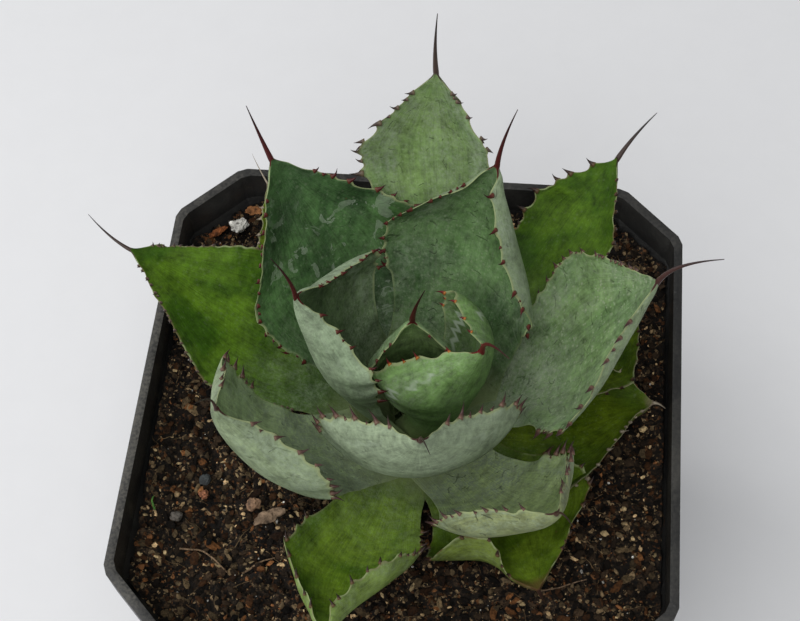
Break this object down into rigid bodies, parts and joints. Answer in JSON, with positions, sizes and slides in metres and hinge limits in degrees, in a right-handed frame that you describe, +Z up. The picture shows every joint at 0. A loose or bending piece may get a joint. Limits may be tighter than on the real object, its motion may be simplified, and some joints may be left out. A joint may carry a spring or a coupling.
{
  "type": "potted agave",
  "caption": "Young agave rosette with toothed, spine-tipped succulent leaves, rooted in gritty soil in a square black nursery pot with cut corners.",
  "frame": {"origin": "centre of the pot's flat underside", "axes": "+Z up from the ground to the leaf tips, +X to the plant's right and +Y to its back; the pot's sides are square to X and Y"},
  "size_m": [0.1358, 0.134, 0.1721],
  "materials": {
    "leaf_grey_green": "living leaf with a waxy grey-green bloom, matt",
    "leaf_bright_green": "living leaf, bright green, satin",
    "black_plastic": "moulded plastic, scuffed and dusty along the rim",
    "potting_soil": "damp peat, bark and grit, rough",
    "stem": "fibrous and matt",
    "perlite": "porous and matt",
    "bark": "rough and matt",
    "pebble": "matt",
    "brick": "unglazed, matt",
    "spine": "hard horny spines and marginal teeth, dark red-brown, satin"
  },
  "bodies": {
    "root": {"central_bud": "leaf_grey_green", "leaf_young_right": "leaf_grey_green", "leaf_young_left": "leaf_grey_green", "leaf_inner_back": "leaf_grey_green", "leaf_inner_front": "leaf_grey_green", "leaf_middle_back_left": "leaf_grey_green", "leaf_middle_back": "leaf_grey_green", "leaf_middle_right": "leaf_grey_green", "leaf_middle_front_right": "leaf_grey_green", "leaf_middle_left": "leaf_grey_green", "leaf_outer_left": "leaf_bright_green", "leaf_outer_back_right": "leaf_bright_green", "leaf_outer_front_left": "leaf_bright_green", "leaf_outer_front_right": "leaf_bright_green", "leaf_old_right": "leaf_bright_green", "leaf_old_back_right": "leaf_bright_green", "leaf_old_back_left": "leaf_bright_green", "nursery_pot": "black_plastic", "potting_soil": "potting_soil", "stem": "stem", "perlite_lump": "perlite", "bark_chip_back": "bark", "bark_chip_left": "bark", "bark_chip_front": "bark", "pebble_tan": "pebble", "pebble_slate": "pebble", "pebble_beige": "pebble", "pebble_grey": "pebble", "brick_chip_right": "brick", "brick_chip_left": "brick"}
  },
  "joints": []
}
